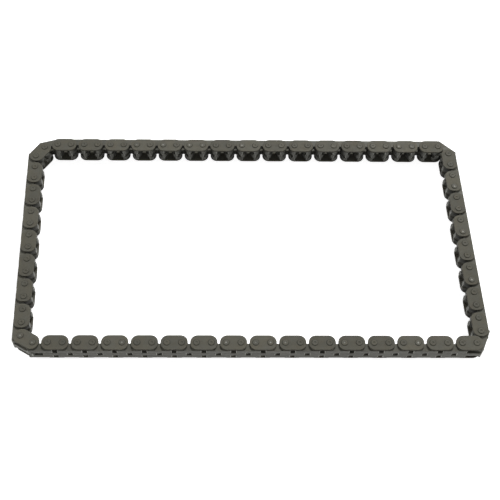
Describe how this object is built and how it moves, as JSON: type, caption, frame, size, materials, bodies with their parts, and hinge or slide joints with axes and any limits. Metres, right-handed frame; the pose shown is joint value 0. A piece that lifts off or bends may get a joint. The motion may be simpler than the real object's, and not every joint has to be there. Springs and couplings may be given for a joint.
{
  "type": "inverted-tooth chain",
  "caption": "Endless inverted-tooth (silent) drive chain lying flat as a rounded rectangle: riveted pins, outer guide plates and layered toothed plates that point inwards.",
  "frame": {"origin": "under the middle of the loop's bounding box, on the surface that the lower pin heads rest on", "axes": "+X along the straight front run, +Y from the front run to the back run, +Z out of the plane of the loop, along the pins"},
  "size_m": [0.2102, 0.1136, 0.0088],
  "materials": {
    "guide_plate_steel": "dark olive grey black-oxide, satin, lightly oiled",
    "toothed_plate_steel": "dark grey black-oxide, satin, lightly oiled",
    "pin_steel": "dark grey steel with worn rims on the riveted ends"
  },
  "bodies": {
    "front_left_corner": {"front_left_corner_guide_plates": "guide_plate_steel", "front_left_corner_toothed_plates": "toothed_plate_steel", "front_left_corner_pins": "pin_steel"},
    "front_run_1": {"front_run_1_guide_plates": "guide_plate_steel", "front_run_1_toothed_plates": "toothed_plate_steel", "front_run_1_pins": "pin_steel"},
    "front_run_2": {"front_run_2_guide_plates": "guide_plate_steel", "front_run_2_toothed_plates": "toothed_plate_steel", "front_run_2_pins": "pin_steel"},
    "front_run_3": {"front_run_3_guide_plates": "guide_plate_steel", "front_run_3_toothed_plates": "toothed_plate_steel", "front_run_3_pins": "pin_steel"},
    "front_run_4": {"front_run_4_guide_plates": "guide_plate_steel", "front_run_4_toothed_plates": "toothed_plate_steel", "front_run_4_pins": "pin_steel"},
    "front_run_5": {"front_run_5_guide_plates": "guide_plate_steel", "front_run_5_toothed_plates": "toothed_plate_steel", "front_run_5_pins": "pin_steel"},
    "front_right_corner": {"front_right_corner_toothed_plates": "toothed_plate_steel"},
    "right_run_1": {"right_run_1_guide_plates": "guide_plate_steel", "right_run_1_toothed_plates": "toothed_plate_steel", "right_run_1_pins": "pin_steel"},
    "right_run_2": {"right_run_2_guide_plates": "guide_plate_steel", "right_run_2_toothed_plates": "toothed_plate_steel", "right_run_2_pins": "pin_steel"},
    "right_run_3": {"right_run_3_guide_plates": "guide_plate_steel", "right_run_3_toothed_plates": "toothed_plate_steel", "right_run_3_pins": "pin_steel"},
    "back_right_corner": {"back_right_corner_toothed_plates": "toothed_plate_steel"},
    "back_run_1": {"back_run_1_guide_plates": "guide_plate_steel", "back_run_1_toothed_plates": "toothed_plate_steel", "back_run_1_pins": "pin_steel"},
    "back_run_2": {"back_run_2_guide_plates": "guide_plate_steel", "back_run_2_toothed_plates": "toothed_plate_steel", "back_run_2_pins": "pin_steel"},
    "back_run_3": {"back_run_3_guide_plates": "guide_plate_steel", "back_run_3_toothed_plates": "toothed_plate_steel", "back_run_3_pins": "pin_steel"},
    "back_run_4": {"back_run_4_guide_plates": "guide_plate_steel", "back_run_4_toothed_plates": "toothed_plate_steel", "back_run_4_pins": "pin_steel"},
    "back_run_5": {"back_run_5_guide_plates": "guide_plate_steel", "back_run_5_toothed_plates": "toothed_plate_steel", "back_run_5_pins": "pin_steel"},
    "back_left_corner": {"back_left_corner_guide_plates": "guide_plate_steel", "back_left_corner_toothed_plates": "toothed_plate_steel", "back_left_corner_pins": "pin_steel"},
    "left_run_1": {"left_run_1_guide_plates": "guide_plate_steel", "left_run_1_toothed_plates": "toothed_plate_steel", "left_run_1_pins": "pin_steel"},
    "left_run_2": {"left_run_2_guide_plates": "guide_plate_steel", "left_run_2_toothed_plates": "toothed_plate_steel", "left_run_2_pins": "pin_steel"},
    "left_run_3": {"left_run_3_guide_plates": "guide_plate_steel", "left_run_3_toothed_plates": "toothed_plate_steel", "left_run_3_pins": "pin_steel"}
  },
  "joints": [
    {"name": "long_runs_bow", "type": "hinge", "parent": "front_run_3", "child": "front_run_4", "pos_m": [0.02217, -0.05262, 0.0044], "axis": [0, 0, 1], "range_deg": [-3, 8]},
    {"name": "side_runs_bow", "type": "hinge", "parent": "front_right_corner", "child": "right_run_1", "pos_m": [0.10093, -0.04681, 0.0044], "axis": [0, 0, -1], "range_deg": [-5, 12]},
    {"name": "front_run_4_to_front_run_5", "type": "hinge", "parent": "front_run_4", "child": "front_run_5", "pos_m": [0.06027, -0.05262, 0.0044], "axis": [0, 0, 1], "range_deg": [-3, 8]},
    {"name": "front_run_5_to_front_right_corner", "type": "hinge", "parent": "front_run_5", "child": "front_right_corner", "pos_m": [0.09837, -0.05262, 0.0044], "axis": [0, 0, 1], "range_deg": [-16, 6]},
    {"name": "right_run_1_to_right_run_2", "type": "hinge", "parent": "right_run_1", "child": "right_run_2", "pos_m": [0.09982, -0.01508, 0.0044], "axis": [0, 0, 1], "range_deg": [-5, 12]},
    {"name": "right_run_2_to_right_run_3", "type": "hinge", "parent": "right_run_2", "child": "right_run_3", "pos_m": [0.09871, 0.01665, 0.0044], "axis": [0, 0, 1], "range_deg": [-5, 12]},
    {"name": "right_run_3_to_back_right_corner", "type": "hinge", "parent": "right_run_3", "child": "back_right_corner", "pos_m": [0.09761, 0.04838, 0.0044], "axis": [0, 0, 1], "range_deg": [-12, 5]},
    {"name": "back_right_corner_to_back_run_1", "type": "hinge", "parent": "back_right_corner", "child": "back_run_1", "pos_m": [0.09295, 0.0527, 0.0044], "axis": [0, 0, 1], "range_deg": [-16, 6]},
    {"name": "back_run_1_to_back_run_2", "type": "hinge", "parent": "back_run_1", "child": "back_run_2", "pos_m": [0.05485, 0.0527, 0.0044], "axis": [0, 0, 1], "range_deg": [-3, 8]},
    {"name": "back_run_2_to_back_run_3", "type": "hinge", "parent": "back_run_2", "child": "back_run_3", "pos_m": [0.01675, 0.0527, 0.0044], "axis": [0, 0, 1], "range_deg": [-3, 8]},
    {"name": "front_run_3_to_front_run_2", "type": "hinge", "parent": "front_run_3", "child": "front_run_2", "pos_m": [-0.01593, -0.05262, 0.0044], "axis": [0, 0, 1], "range_deg": [-8, 3]},
    {"name": "front_run_2_to_front_run_1", "type": "hinge", "parent": "front_run_2", "child": "front_run_1", "pos_m": [-0.05403, -0.05262, 0.0044], "axis": [0, 0, 1], "range_deg": [-8, 3]},
    {"name": "front_run_1_to_front_left_corner", "type": "hinge", "parent": "front_run_1", "child": "front_left_corner", "pos_m": [-0.09213, -0.05262, 0.0044], "axis": [0, 0, 1], "range_deg": [-6, 16]},
    {"name": "front_left_corner_to_left_run_3", "type": "hinge", "parent": "front_left_corner", "child": "left_run_3", "pos_m": [-0.09762, -0.04945, 0.0044], "axis": [0, 0, 1], "range_deg": [-5, 12]},
    {"name": "left_run_3_to_left_run_2", "type": "hinge", "parent": "left_run_3", "child": "left_run_2", "pos_m": [-0.09873, -0.01771, 0.0044], "axis": [0, 0, 1], "range_deg": [-12, 5]},
    {"name": "left_run_2_to_left_run_1", "type": "hinge", "parent": "left_run_2", "child": "left_run_1", "pos_m": [-0.09984, 0.01402, 0.0044], "axis": [0, 0, 1], "range_deg": [-12, 5]},
    {"name": "left_run_1_to_back_left_corner", "type": "hinge", "parent": "left_run_1", "child": "back_left_corner", "pos_m": [-0.10095, 0.04575, 0.0044], "axis": [0, 0, 1], "range_deg": [-5, 12]},
    {"name": "back_left_corner_to_back_run_5", "type": "hinge", "parent": "back_left_corner", "child": "back_run_5", "pos_m": [-0.0912, 0.0527, 0.0044], "axis": [0, 0, 1], "range_deg": [-6, 16]},
    {"name": "back_run_5_to_back_run_4", "type": "hinge", "parent": "back_run_5", "child": "back_run_4", "pos_m": [-0.0531, 0.0527, 0.0044], "axis": [0, 0, 1], "range_deg": [-8, 3]}
  ],
  "couplings": [
    {"joint": "front_run_4_to_front_run_5", "follows": "long_runs_bow", "ratio": 1},
    {"joint": "front_run_5_to_front_right_corner", "follows": "long_runs_bow", "ratio": -2},
    {"joint": "right_run_1_to_right_run_2", "follows": "side_runs_bow", "ratio": 1},
    {"joint": "right_run_2_to_right_run_3", "follows": "side_runs_bow", "ratio": 1},
    {"joint": "right_run_3_to_back_right_corner", "follows": "side_runs_bow", "ratio": -1},
    {"joint": "back_right_corner_to_back_run_1", "follows": "long_runs_bow", "ratio": -2},
    {"joint": "back_run_1_to_back_run_2", "follows": "long_runs_bow", "ratio": 1},
    {"joint": "back_run_2_to_back_run_3", "follows": "long_runs_bow", "ratio": 1},
    {"joint": "front_run_3_to_front_run_2", "follows": "long_runs_bow", "ratio": -1},
    {"joint": "front_run_2_to_front_run_1", "follows": "long_runs_bow", "ratio": -1},
    {"joint": "front_run_1_to_front_left_corner", "follows": "long_runs_bow", "ratio": 2},
    {"joint": "front_left_corner_to_left_run_3", "follows": "side_runs_bow", "ratio": 1},
    {"joint": "left_run_3_to_left_run_2", "follows": "side_runs_bow", "ratio": -1},
    {"joint": "left_run_2_to_left_run_1", "follows": "side_runs_bow", "ratio": -1},
    {"joint": "left_run_1_to_back_left_corner", "follows": "side_runs_bow", "ratio": 1},
    {"joint": "back_left_corner_to_back_run_5", "follows": "long_runs_bow", "ratio": 2},
    {"joint": "back_run_5_to_back_run_4", "follows": "long_runs_bow", "ratio": -1}
  ]
}
